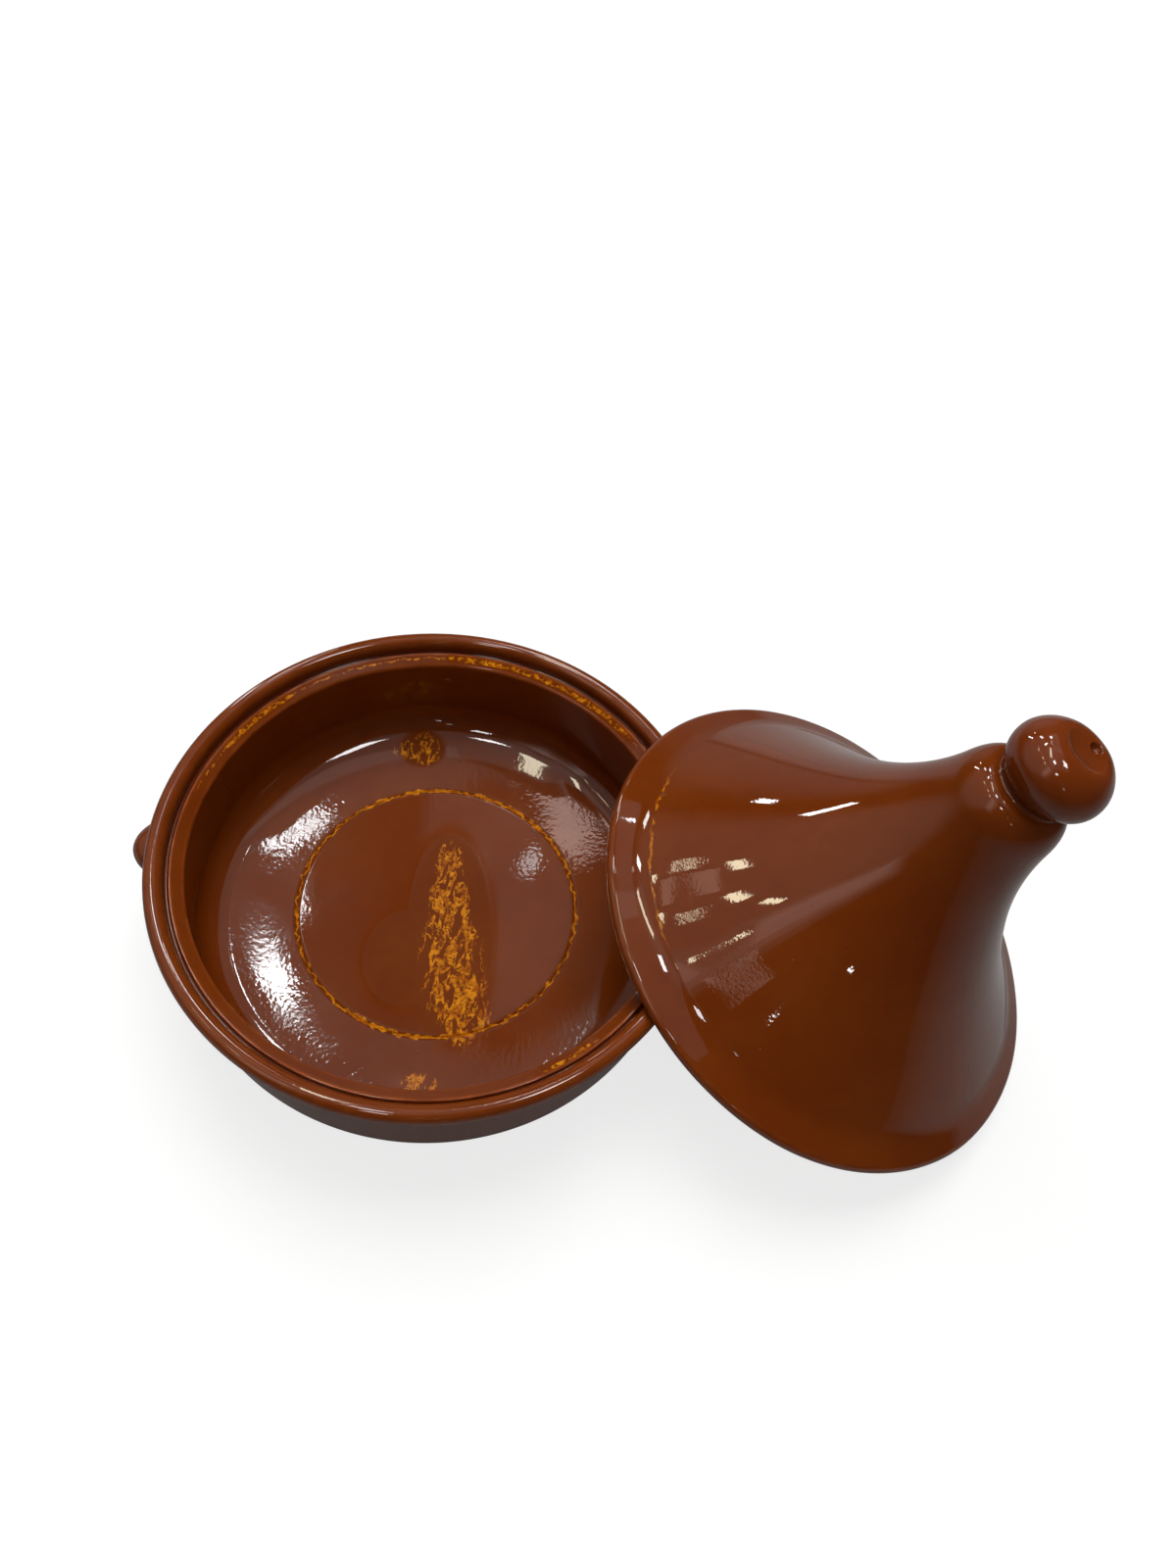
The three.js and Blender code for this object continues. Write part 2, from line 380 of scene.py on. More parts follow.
# %% Lamps at the side and front
pane_yellow = (1.0, 0.9, 0.62)
peach = (1.0, 0.7, 0.55)
pane_radiance = 17
panes = [
    (-55.7, 51.4, 5.0, 0.15, 37),
    (-63.4, 51.7, 5.0, 1.1, 24),
    (-87.8, 58.5, 5.0, 1.0, 9),
    (-90.4, 61.1, 4.6, 0.12, 15),
    (-106.2, 57.9, 5.0, 1.1, -14),
    (-124.5, 61.0, 2.2, 0.35, -11),
]
for number, (azimuth, height, wide, tall, roll) in enumerate(panes):
    lamp(f"window_pane_{number}", azimuth, height, wide, tall, pane_radiance, pane_yellow, roll)
lamp("peach_pane", -69.3, 56, 10, 1.1, 1.6, peach, 28)
lamp("front_strip_core", -129, 47, 8, 26, 0.45, pink)
lamp("front_strip_middle", -130, 46, 13, 29, 0.35, pink)
lamp("front_strip_edge", -131, 46, 18, 33, 0.2, pink)
lamp("front_strip_foot", -155, 56.2, 15, 0.3, 1.6, pink, -27)
lamp("front_lamp_a", 172.1, 32.4, 3.0, 0.5, 30, roll=-38)
lamp("front_lamp_b", 177.2, 44.7, 2.4, 0.25, 30, roll=-41)
lamp("front_lamp_c", -164, 60, 5, 5, 16)
print("lamps:", len(bpy.data.lights))

# %% [markdown]
# The room itself is dim and plain, except for two pale stretches of wall. The one at the left shows as the
# lighter field on the lid's left, and the one low behind the pot along the lid's upper edge. They could be
# large lamps as well, but a lamp ends in an edge, and these have to fade out. So they are soft patches in
# the sky's own strength. To the camera itself the sky is a white backdrop.

# %% Room
room_dimness = 0.035
wall_tint = (1.0, 0.96, 0.9, 1)
room = bpy.data.worlds.new("room")
room.use_nodes = True
sky = Graph(room.node_tree)
towards = sky.add("ShaderNodeTexCoord").outputs["Generated"]


def pale_wall(azimuth, height, outer, inner, strength):
    """A pale patch in one direction that fades out between two angles from its middle."""
    facing = sky.add("ShaderNodeVectorMath", operation="DOT_PRODUCT")
    sky.feed(facing.inputs[0], towards)
    sky.feed(facing.inputs[1], direction(azimuth, height))
    start = math.cos(math.radians(outer))
    end = math.cos(math.radians(inner))
    return sky.fade(facing.outputs["Value"], start, end, 0.0, strength)


room_light = sky.plus(pale_wall(-80, 45, 45, 28, 0.36), room_dimness)
room_light = sky.plus(pale_wall(-4, 2, 30, 8, 0.22), room_light)
walls = room.node_tree.nodes["Background"]
walls.inputs["Color"].default_value = wall_tint
sky.feed(walls.inputs["Strength"], room_light)
backdrop = sky.add("ShaderNodeBackground")
backdrop.inputs["Color"].default_value = (1, 1, 1, 1)
either = sky.add("ShaderNodeMixShader")
sky.feed(either.inputs[0], sky.seen())
sky.feed(either.inputs[1], walls.outputs[0])
sky.feed(either.inputs[2], backdrop.outputs[0])
sky.feed(room.node_tree.nodes["World Output"].inputs["Surface"], either.outputs[0])
bpy.context.scene.world = room
print("room uses", len(room.node_tree.nodes), "nodes")

# %% [markdown]
# Outlines. A potter checks a shape with a profile gauge, and that profile is all a turned piece needs. It
# could be drawn by hand as a curve, but its sizes would then be hidden in the drawing. Here straight runs,
# arcs and Bezier bends are joined into one list of (radius, height) points, close enough together that the
# facets can't be seen. Each helper gives back an array, so outlines are joined with concatenate.

# %% Outline helpers
def run(start, end, steps):
    """Points along a straight run."""
    return np.linspace(start, end, steps + 1)


def arc(centre, radius, start, end, steps, height=None):
    """Points along an arc of a circle, or of an ellipse if a height is given, by angles in degrees."""
    turn = np.radians(np.linspace(start, end, steps + 1))
    out = centre[0] + radius * np.cos(turn)
    up = centre[1] + (height or radius) * np.sin(turn)
    return np.stack([out, up], axis=1)


def bend(points, steps):
    """Points along a Bezier curve with three or four control points."""
    share = np.linspace(0, 1, steps + 1)[:, None]
    degree = len(points) - 1
    terms = [
        math.comb(degree, i) * share**i * (1 - share) ** (degree - i) * np.array(point, float)
        for i, point in enumerate(points)
    ]
    return sum(terms)


def reach(point, distance, angle):
    """The point at a distance and an angle in degrees from another."""
    turn = math.radians(angle)
    return np.array([point[0] + distance * math.cos(turn), point[1] + distance * math.sin(turn)])


def without_doubles(outline):
    """The outline with points that repeat the one before them left out."""
    step = np.linalg.norm(np.diff(outline, axis=0), axis=1)
    return outline[np.r_[True, step > 1e-6]]


print("half circle:", arc((0, 0), 1, 0, 180, 2).round(2).tolist())

# %% [markdown]
# Turning an outline. Each point becomes a ring of vertices, and neighbouring rings are joined by quads.
# Blender's Screw modifier does that too. Here the points stay plain arrays, so that a slow, shallow swell
# along the surface normal can make the result look thrown and not machined.

# %% Turning helpers
def turned_points(outline, columns):
    """The rings of points and outward normals of an outline turned round the Z axis."""
    slope = np.gradient(outline, axis=0)
    slope /= np.linalg.norm(slope, axis=1)[:, None]
    turn = np.arange(columns) * 2 * np.pi / columns
    circle = np.stack([np.cos(turn), np.sin(turn)], axis=1)

    def ring(radial, axial):
        sides = radial[:, None, None] * circle[None]
        tall = np.repeat(axial[:, None, None], columns, axis=1)
        return np.concatenate([sides, tall], axis=2).reshape(-1, 3)

    return ring(outline[:, 0], outline[:, 1]), ring(slope[:, 1], -slope[:, 0])


def ring_faces(rows, columns):
    """Quads that join each ring to the next."""
    row, column = np.meshgrid(np.arange(rows - 1), np.arange(columns), indexing="ij")
    beside = (column + 1) % columns
    here = row * columns
    after = here + columns
    quads = [here + column, here + beside, after + beside, after + column]
    return np.stack(quads, axis=-1).reshape(-1, 4).tolist()


def swell(points, normals, size, depth, stretch=1.0):
    """Moves points along their normals by smooth noise of one size and depth; a low stretch draws it out."""
    scaled = points / size * np.array([1, 1, stretch])
    moves = np.array([noise.noise(Vector(p)) for p in scaled])
    return points + normals * (moves * depth)[:, None]


print("a ring of 4 joined to the next:", ring_faces(2, 4))

# %% [markdown]
# Glaze runs thin over an outward edge and pools in a hollow. Blender's Pointiness would show that, but
# only in Cycles and only as fine as the mesh. So how sharply the outline bends is worked out once, and two
# numbers are stored on each vertex for the glaze to use, along with the place of the vertex on the wheel.

# %% Making a turned piece
bend_spread = 0.9
thin_from = 0.12
thin_gain = 2.2
pool_gain = 1.6


def bends_of(outline):
    """How sharply an outline bends at each point, per millimetre, smoothed: positive on outward edges."""
    step = np.diff(outline, axis=0)
    length = np.linalg.norm(step, axis=1)
    angle = np.arctan2(step[:, 1], step[:, 0])
    turn = np.zeros(len(outline))
    turn[1:-1] = (np.diff(angle) + np.pi) % (2 * np.pi) - np.pi
    along = np.r_[0, np.cumsum(length)]
    weight = np.exp(-0.5 * ((along[:, None] - along[None]) / bend_spread) ** 2)
    return weight @ turn / (bend_spread * math.sqrt(2 * math.pi))


def make_piece(name, points, faces, values, place=None):
    """A smooth mesh object from points in millimetres, set in place, with values stored on its vertices."""
    points = np.asarray(points) * mm
    mesh = bpy.data.meshes.new(name)
    mesh.from_pydata(points.tolist(), [], faces)
    thrown_at = mesh.attributes.new("thrown_at", "FLOAT_VECTOR", "POINT")
    thrown_at.data.foreach_set("vector", points.astype(np.float32).ravel())
    for key, numbers in values.items():
        layer = mesh.attributes.new(key, "FLOAT", "POINT")
        layer.data.foreach_set("value", np.asarray(numbers, np.float32))
    mesh.shade_smooth()
    mesh.validate()
    if place is not None:
        mesh.transform(place)
    made = bpy.data.objects.new(name, mesh)
    bpy.context.scene.collection.objects.link(made)
    return made


def turn_piece(name, outline, columns, swells, shape=None, place=None):
    """A closed turned piece, swollen a little by hand; shape may move its points before that."""
    outline = without_doubles(np.asarray(outline, float))
    inner = outline[1:-1]
    points, normals = turned_points(inner, columns)
    if shape is not None:
        points = shape(points)
    for size, depth, stretch in swells:
        points = swell(points, normals, size, depth, stretch)
    rows = len(inner)
    ends = np.array([[0, 0, outline[0, 1]], [0, 0, outline[-1, 1]]])
    points = np.concatenate([points, ends])
    faces = ring_faces(rows, columns)
    first = rows * columns
    last = first + 1
    for column in range(columns):
        beside = (column + 1) % columns
        faces.append((first, beside, column))
        faces.append((last, first - columns + column, first - columns + beside))
    sharp = bends_of(outline)[1:-1]
    thin = np.clip((sharp - thin_from) * thin_gain, 0, 1)
    pooled = np.clip(-sharp * pool_gain, 0, 1)
    values = {
        "thin_glaze": np.r_[np.repeat(thin, columns), 0, 0],
        "pooled_glaze": np.r_[np.repeat(pooled, columns), 0, 0],
    }
    made = make_piece(name, points, faces, values, place)
    print(name, "has", len(made.data.polygons), "faces in", rows, "rings")
    return made


print("a rounding of 5 mm bends by", bends_of(arc((0, 0), 5, 0, 180, 60))[30].round(3), "per mm")

# %% [markdown]
# The dish is a low pan with an upright wall. Its rim carries the lid's seat: a round bead on the outside,
# a narrow groove, and a ledge that falls inwards to a rounded edge. The floor is flat in the middle and
# rises gently outside a turned ring. It could be modelled from a cylinder with bevels and loop cuts, but
# the seat is all small arcs, so an outline is quicker and exact. The sizes come first.

# %% Dish sizes
bead_radius = 4.5
bead_under_angle = -50
bead = (rim_radius - bead_radius, rim_height - bead_radius)
bead_inside = bead[0] - bead_radius
wall_radius = rim_radius - 8
wall_inside = wall_radius - 8
foot_corner = 24
groove_radius = 1
groove_end_angle = -160
groove = (bead_inside - groove_radius, rim_height - 7.4)
crest = (bead_inside - 2.6, rim_height - 6.8)
ledge_slope = 30
bore_radius = crest[0] - 6.2
edge_radius = 2
edge_fall = math.tan(math.radians(ledge_slope)) * (crest[0] - bore_radius - edge_radius)
edge = (bore_radius + edge_radius, crest[1] - edge_fall - edge_radius / math.cos(math.radians(ledge_slope)))
floor_height = 10.4
floor_rise = 6
floor_slope = math.tan(math.radians(floor_rise))
floor_corner = 12
sweep_from = 109
sweep_wall_pull = 0.6
sweep_floor_pull = 0.7
ring_radius = 75.7
ring_half = 0.8
ring_depth = 0.5
ring_edge = ring_radius + ring_half


def floor_at(radius):
    """A point of the sloping outer floor."""
    return np.array([radius, floor_height + floor_slope * (radius - ring_edge)])


corner_radius = wall_inside - floor_corner
slope_end = reach((corner_radius, 0), floor_corner, floor_rise - 90)
corner_height = floor_at(slope_end[0])[1] - slope_end[1]
print(f"ledge from {bore_radius:.1f} to {crest[0]:.1f} mm, wall's foot {corner_height:.1f} mm up")

# %% [markdown]
# The outline goes from the middle of the foot, out and up the wall, over the rim and back in along the
# floor. The floor sweeps up to the wall in one long bend: a plain arc there would mirror a hard line. The
# turned ring is a shallow groove whose section is a cosine.

# %% Dish outline
def dish_outline():
    bead_low = reach(bead, bead_radius, bead_under_angle)
    under_bead = (bead[0], bead[1] - bead_radius)
    wall_top = (bead[0] - 0.3, under_bead[1] - 4)
    crest_in = reach(crest, 1.3, 180 + ledge_slope)
    groove_up = reach(groove, groove_radius, groove_end_angle)
    wall_foot = np.array([wall_inside - 0.1, corner_height + 1.5])
    meeting = floor_at(wall_inside)
    sweep_end = floor_at(sweep_from)
    from_wall = wall_foot + sweep_wall_pull * (meeting - wall_foot)
    from_floor = sweep_end + sweep_floor_pull * (meeting - sweep_end)
    ring_share = np.linspace(1, -1, 17)
    ring_dip = ring_depth * np.cos(ring_share * np.pi / 2) ** 2
    ring = np.stack([ring_radius + ring_half * ring_share, floor_height - ring_dip], axis=1)
    return np.concatenate([
        run((0, 0), (wall_radius - foot_corner, 0), 24),
        arc((wall_radius - foot_corner, foot_corner), foot_corner, -90, 0, 30),
        run((wall_radius, foot_corner), wall_top, 20),
        bend([wall_top, under_bead, bead_low], 10),
        arc(bead, bead_radius, bead_under_angle, 180, 40),
        run((bead_inside, bead[1]), (bead_inside, groove[1]), 4),
        arc(groove, groove_radius, 0, groove_end_angle, 14),
        bend([groove_up, reach(crest, 0.7, 60), crest_in], 12),
        run(crest_in, reach(edge, edge_radius, 90 + ledge_slope), 6),
        arc(edge, edge_radius, 90 + ledge_slope, 180, 12),
        run((bore_radius, edge[1]), wall_foot, 26),
        bend([wall_foot, from_wall, from_floor, sweep_end], 44),
        run(sweep_end, (ring_edge, floor_height), 20),
        ring,
        run((ring_radius - ring_half, floor_height), (0, floor_height), 40),
    ])


print("dish outline has", len(dish_outline()), "points")

# %% [markdown]
# At the back the floor curls up a little against the wall, as clay does where the thrower's hand lingers,
# and it mirrors the ceiling there. A turned outline is the same all round, so a function moves the points.
# It lifts the floor by a few millimetres at most, and fades out up the wall and towards both sides.

# %% Dish
dish_columns = 304
dish_swells = [(60, 0.03, 1), (14, 0.006, 1)]
curl_from = 94
curl_rate = 0.0045
curl_low = 22
curl_high = 55
curl_right = (50, 66)
curl_left = (172, 148)


def smooth(value, start, end):
    """A smooth step from 0 at start to 1 at end."""
    share = np.clip((value - start) / (end - start), 0, 1)
    return share * share * (3 - 2 * share)


def lift_back(points):
    """Curls the floor up against the wall at the back."""
    out = np.hypot(points[:, 0], points[:, 1])
    azimuth = np.degrees(np.arctan2(points[:, 1], points[:, 0]))
    at_back = smooth(azimuth, *curl_right) * smooth(azimuth, *curl_left)
    inside = (out < wall_radius - 6) & (points[:, 2] > floor_height - 0.1)
    curl = curl_rate * np.maximum(out - curl_from, 0) ** 2 * smooth(points[:, 2], curl_high, curl_low)
    points[:, 2] += np.where(inside, at_back * curl, 0)
    return points


dish = turn_piece("dish_thrown", dish_outline(), dish_columns, dish_swells, lift_back)
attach(dish, "dish_body")
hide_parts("dish")

# %% [markdown]
# Each lug is a small half-moon of clay pressed on under the bead. A sphere scaled to an ellipsoid would
# give its nose, but meet the wall at a hard line. So its rings are worked out here: near the wall they
# flare, as wet clay does when a thumb smears it down, and the hidden end closes inside the wall.

# %% Lugs
lug_turn = 4.5
lug_middle = (wall_radius + 4, rim_height - 21)
lug_reach = 15
lug_half_width = 15
lug_half_height = 9.5
lug_back_angle = 118
lug_rings = 40
lug_columns = 72
lug_swell = (9, 0.5)
flare = 0.3
flare_depth = 3.0
flare_start = 1.5
lug_thin_glaze = 0.15


def lug_points(rings, columns):
    """Rings of points from the nose back into the wall, and the nose itself last."""
    back = np.radians(np.linspace(0, lug_back_angle, rings + 1))[1:]
    turn = np.arange(columns) * 2 * np.pi / columns
    out = lug_middle[0] + lug_reach * np.cos(back)
    stand = np.maximum(out - wall_radius - flare_start, 0)
    spread = np.sin(back) * (1 + flare * np.exp(-stand / flare_depth))
    sideways = lug_half_width * spread[:, None] * np.cos(turn)
    upwards = lug_middle[1] + lug_half_height * spread[:, None] * np.sin(turn)
    points = np.stack([np.repeat(out, columns), sideways.ravel(), upwards.ravel()], axis=1)
    nose = [[lug_middle[0] + lug_reach, 0, lug_middle[1]]]
    return np.concatenate([points, nose])


def make_lug(name, node, azimuth):
    """A half-moon grip at one azimuth of the dish."""
    points = lug_points(lug_rings, lug_columns)
    points = swell(points, np.tile([1.0, 0, 0], (len(points), 1)), *lug_swell)
    cosine = math.cos(math.radians(azimuth))
    sine = math.sin(math.radians(azimuth))
    points = points @ np.array([[cosine, sine, 0], [-sine, cosine, 0], [0, 0, 1]])
    nose = lug_rings * lug_columns
    faces = [quad[::-1] for quad in ring_faces(lug_rings, lug_columns)]
    faces += [(nose, column, (column + 1) % lug_columns) for column in range(lug_columns)]
    faces.append(list(range(nose - 1, nose - lug_columns - 1, -1)))
    stored = {"thin_glaze": np.full(len(points), lug_thin_glaze), "pooled_glaze": np.zeros(len(points))}
    made = make_piece(name, points, faces, stored)
    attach(made, "dish_body")
    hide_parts(node)
    return made


lug_right = make_lug("lug_right_grip", "lug_right", lug_turn)
lug_left = make_lug("lug_left_grip", "lug_left", lug_turn + 180)
print("lugs:", lug_right.name, "and", lug_left.name)

# %% [markdown]
# Where the lid stands. It is off the dish and leans on the rim, so its axis is tilted. The tilt could be
# typed in, but it is better read from the measured lid: the points of a turned piece spread evenly round
# its axis, and the direction in which their spread differs from the other two is the axis. The flat crown
# is the highest point along it.

# %% Lean of the lid
crown_height = 145.2
measured = np.array([v.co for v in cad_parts["lid"].data.vertices], float)
middle = (measured.min(axis=0) + measured.max(axis=0)) / 2
spreads, directions = np.linalg.eigh(np.cov((measured - middle).T))
odd_one = 0 if spreads[1] - spreads[0] > spreads[2] - spreads[1] else 2
axis = Vector(directions[:, odd_one])
axis = axis if axis.z > 0 else -axis
on_axis = Vector(measured.mean(axis=0))
heights = (measured - np.array(on_axis)) @ np.array(axis)
lip_middle = on_axis + axis * (heights.max() - crown_height * mm)
side = Vector((0, 1, 0)).cross(axis).normalized()
lid_place = Matrix.Translation(lip_middle) @ Matrix((side, axis.cross(side), axis)).transposed().to_4x4()
print(f"lean {math.degrees(math.acos(axis.z)):.2f} degrees")
print("middle of the lip in mm:", [round(v / mm, 2) for v in lip_middle])

# %% [markdown]
# The lid is a bell: a rounded lip, a low brim, a soft crease, and a wall that sweeps up to a collar. The
# outside is three Bezier bends. A Solidify modifier could make the hollow, but the collar is thicker than
# the wall. So the hollow has its own outline, which follows the outside at the thickness of the lip and
# stops below the collar.

# %% Lid sizes
lid_radius = bead_inside - 1.4
lip_radius = 3.8
lip = (lid_radius - lip_radius, 0)
brim_slope = 26
brim_length = 13.2
bell_slope = 43
crease = reach(reach(lip, lip_radius, 90 - brim_slope), brim_length, 180 - brim_slope)
crease_blend = 4.65
bell_start = reach(crease, crease_blend, 180 - bell_slope)
collar_height = 130
bell_end = np.array([28.2, collar_height])
collar_slope = 79.4
neck_radius = 17
hollow_height = collar_height - 18
hollow_dome = 16
print(f"lid radius {lid_radius:.1f} mm, crease at {crease[0]:.1f} mm")

# %% [markdown]
# The outline starts under the crown, goes down the hollow, round the lip and up the outside to the crown.
# The wall isn't quite round, because a bell this tall is pulled up in strokes. A noise drawn out along the
# axis gives those long shallow flutes, where carving each one would look too regular.

# %% Lid
lid_columns = 264
lid_swells = [(26, 0.07, 0.16), (50, 0.25, 1), (14, 0.012, 1)]


def lid_outside():
    crown_edge = (neck_radius, crown_height)
    crease_bend = bend([reach(crease, crease_blend, -brim_slope), crease, bell_start], 14)
    bell = [bell_start, reach(bell_start, 30, 180 - bell_slope), reach(bell_end, 55, -collar_slope), bell_end]
    crown_out = (neck_radius + 5, crown_height)
    shoulder = [bell_end, reach(bell_end, 11, 180 - collar_slope), crown_out, crown_edge]
    return crease_bend, bend(bell, 120), bend(shoulder, 30)


def lid_outline():
    crease_bend, bell, shoulder = lid_outside()
    outside = without_doubles(np.concatenate([crease_bend, bell]))
    slope = np.gradient(outside, axis=0)
    slope /= np.linalg.norm(slope, axis=1)[:, None]
    hollow = outside + 2 * lip_radius * np.stack([-slope[:, 1], slope[:, 0]], axis=1)
    hollow = hollow[hollow[:, 1] < hollow_height]
    dome = arc((0, hollow[-1, 1]), hollow[-1, 0], 90, 0, 24, hollow_dome)
    lip_round = arc(lip, lip_radius, 270 - brim_slope, 450 - brim_slope, 30)
    brim = run(lip_round[-1], crease_bend[0], 12)
    under_brim = run(hollow[0], lip_round[0], 12)
    crown = run((neck_radius, crown_height), (0, crown_height), 6)
    inside = [dome, hollow[::-1], under_brim]
    return np.concatenate([*inside, lip_round, brim, crease_bend, bell, shoulder, crown])


lid = turn_piece("lid_thrown", lid_outline(), lid_columns, lid_swells, place=lid_place)
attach(lid, "lid_body")
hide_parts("lid")

# %% [markdown]
# The knob is a ball of clay on a short neck, flattened on top and dished by a thumb, with a small pit
# beside its middle. The pit isn't round the axis, so it can't be in the outline. A Boolean would cut it
# with a sharp edge. The rings of the top are close together there, so a function pushes them down inside
# the pit and up a little round its edge.

# %% Knob
knob_columns = 288
knob_swells = [(16, 0.4, 1), (7, 0.04, 1)]
knob_radius = 24.2
knob_half_height = 18.4
stem_radius = neck_radius - 1
stem_foot = crown_height + 0.3
stem_angle = math.degrees(math.acos(stem_radius / knob_radius))
knob_middle = stem_foot + 1 + knob_half_height * math.sin(math.radians(stem_angle))
rim_angle = 52
pit_radius = 3
pit_depth = 2.2
pit_edge = 0.25
pit_place = reach((0, 0), 7, 30)


def knob_outline():
    ball = arc((0, knob_middle), knob_radius, 14 - stem_angle, rim_angle - 8, 60, knob_half_height)
    corner_out = arc((0, knob_middle), knob_radius, 0, rim_angle, 1, knob_half_height)[-1]
    rim = (corner_out[0] - 2, corner_out[1] + 1)
    rim_inside = (rim[0] - 2.4, rim[1] - 0.15)
    face = rim[1] - 1.4
    foot_under = crown_height - 0.4
    flared_foot = (stem_radius + 2.6, foot_under)
    return np.concatenate([
        [(0, foot_under), flared_foot],
        bend([flared_foot, (stem_radius - 0.4, stem_foot + 0.6), ball[0]], 14),
        ball,
        bend([ball[-1], (rim[0] + 1.06, rim[1] - 0.02), rim_inside], 20),
        bend([rim_inside, (rim[0] - 5, face), (0, face)], 70),
    ])


def press_pit(points):
    """Pushes the top down inside the pit, with a soft raised edge."""
    apart = np.hypot(points[:, 0] - pit_place[0], points[:, 1] - pit_place[1]) / pit_radius
    inside = np.clip(1 - apart**4, 0, 1) ** 0.6
    edge_up = np.exp(-((apart - 1.15) / 0.22) ** 2)
    on_top = points[:, 2] > knob_middle
    points[:, 2] += np.where(on_top, pit_edge * edge_up - pit_depth * inside, 0)
    return points


knob = turn_piece("lid_knob_ball", knob_outline(), knob_columns, knob_swells, press_pit, lid_place)
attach(knob, "lid_body")
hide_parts("lid_knob")

# %% [markdown]
# The glaze. A clear brown glaze over red clay is a deep colour under a mirror-smooth skin. It could be a
# brown base with a clear coat, but one glossy layer gives the same mirror with fewer settings. Its colour
# drifts slowly, goes darker where it pools and more orange where it runs thin, and holds a few iron
# specks. The skin has an orange-peel ripple that breaks highlights into ragged blobs, a little uneven
# gloss, and tiny pinholes. One recipe makes all three finishes, and each piece adds its own marks to it.

# %% Glaze recipe
deep_brown = screen(110, 45, 4)
warm_brown = screen(115, 50, 7)
pool_brown = screen(66, 16, 3)
thin_orange = screen(162, 80, 34)
iron_speck = screen(38, 14, 6)
# Painted reflection: these two ambers stand in for an orange light that the glaze mirrors.
reflected_amber_bright = screen(214, 132, 14)
reflected_amber_deep = screen(154, 76, 5)
glaze_ior = 1.52


def body_colour(glaze):
    """Deep brown that drifts, pools and thins."""
    drift = glaze.fade(glaze.grain(60 * mm, 3), 0.35, 0.65)
    colour = glaze.blend(drift, deep_brown, warm_brown)
    mottle = glaze.fade(glaze.grain(9 * mm, 4), 0.3, 0.75, 0.0, 0.09)
    colour = glaze.blend(mottle, colour, pool_brown)
    colour = glaze.blend(glaze.times(glaze.stored("pooled_glaze"), 0.55), colour, pool_brown)
    patchy = glaze.fade(glaze.grain(12 * mm, 3), 0.3, 0.7, 0.25, 1.0)
    thin = glaze.times(glaze.stored("thin_glaze"), patchy)
    colour = glaze.blend(glaze.times(thin, 0.75), colour, thin_orange)
    return glaze.blend(glaze.times(glaze.specks(11 * mm, 0.35 * mm), 0.8), colour, iron_speck)


def reflected_amber_colour(glaze):
    """The colour of the painted amber reflections: deep in places and bright in others, at the scale of a
    grain.
    """
    return glaze.blend(glaze.fade(glaze.grain(3 * mm, 3), 0.35, 0.65), reflected_amber_deep, reflected_amber_bright)


def uneven_gloss(glaze, roughest):
    """Roughness that drifts between four tenths of the roughest and the roughest."""
    return glaze.fade(glaze.grain(20 * mm, 4), 0.3, 0.7, 0.4 * roughest, roughest)


def glassy_skin(glaze, peel_size, peel_depth):
    """Sets how strongly the glaze mirrors, and gives the relief of its orange peel and pinholes."""
    glaze.set("IOR", glaze_ior)
    peel = glaze.relief(glaze.grain(peel_size, 1), peel_depth)
    holes = glaze.minus(1.0, glaze.specks(16 * mm, 0.4 * mm))
    return glaze.relief(holes, 0.15 * mm, peel)


print("glaze browns:", [[round(v, 3) for v in c[:3]] for c in (deep_brown, warm_brown, pool_brown)])

# %% [markdown]
# The dish's first mark is a painted reflection: a grainy amber streak across the floor, from back to front,
# that stands in for an orange light mirrored by the glaze. It could be painted on an image, but that needs an
# unwrapped mesh and blurs close up. Here soft ellipses say how dense the amber is, and a noise drawn out into
# strands decides which spots show.

# %% Painted amber reflection on the floor
dish_glaze = Finish("dish_glaze")
amber_reflection_patches = [
    (2.5, 26, 8, 16, -6, 0.8),
    (6, 2, 11, 26, -10, 1.0),
    (11, -26, 17, 24, -10, 0.9),
    (16, -46, 17, 22, -8, 0.9),
    (24, -62, 13, 17, -8, 1.0),
    (-23, 101, 9, 11, -10, 1.0),
    (-31, 99, 11, 7, -10, 0.7),
    (6.5, -100.5, 9, 6, 0, 0.9),
]


def on_floor(glaze):
    """1 on the floor and 0 from a little way up the wall."""
    return glaze.fade(glaze.axes()[2], 22 * mm, 17 * mm)


def floor_patches(glaze, patches):
    """The most of several soft ellipses: x, y, half width, half length, turn in degrees and amount."""
    here_x, here_y, _ = glaze.axes()
    most = 0.0
    for x, y, half_width, half_length, turn, amount in patches:
        cosine = math.cos(math.radians(turn))
        sine = math.sin(math.radians(turn))
        dx = glaze.minus(here_x, x * mm)
        dy = glaze.minus(here_y, y * mm)
        wide = glaze.plus(glaze.times(dx, cosine), glaze.times(dy, -sine))
        long = glaze.plus(glaze.times(dx, sine), glaze.times(dy, cosine))
        wide = glaze.reckon("POWER", glaze.over(wide, half_width * mm), 2)
        long = glaze.reckon("POWER", glaze.over(long, half_length * mm), 2)
        near = glaze.fade(glaze.plus(wide, long), 1.4, 0.2, 0.0, amount)
        most = glaze.larger(near, most)
    return glaze.times(most, on_floor(glaze))


def amber_reflection_grains(glaze, density):
    """Strands of grains of painted reflection that grow broader with the density."""
    strands = glaze.grain(4.5 * mm, 3, glaze.stretched(1.0, 0.34, 1.0), 0.7)
    from_strand = glaze.size(glaze.minus(strands, 0.5))
    flecks = glaze.fade(glaze.minus(glaze.times(density, 0.09), from_strand), 0.0, 0.025)
    return glaze.times(flecks, glaze.fade(glaze.grain(1.6 * mm, 2), 0.36, 0.5))


# Painted reflection: the amber streak across the floor.
streak_reflection = amber_reflection_grains(dish_glaze, floor_patches(dish_glaze, amber_reflection_patches))
print("trickle uses", len(dish_glaze.tree.nodes), "nodes")
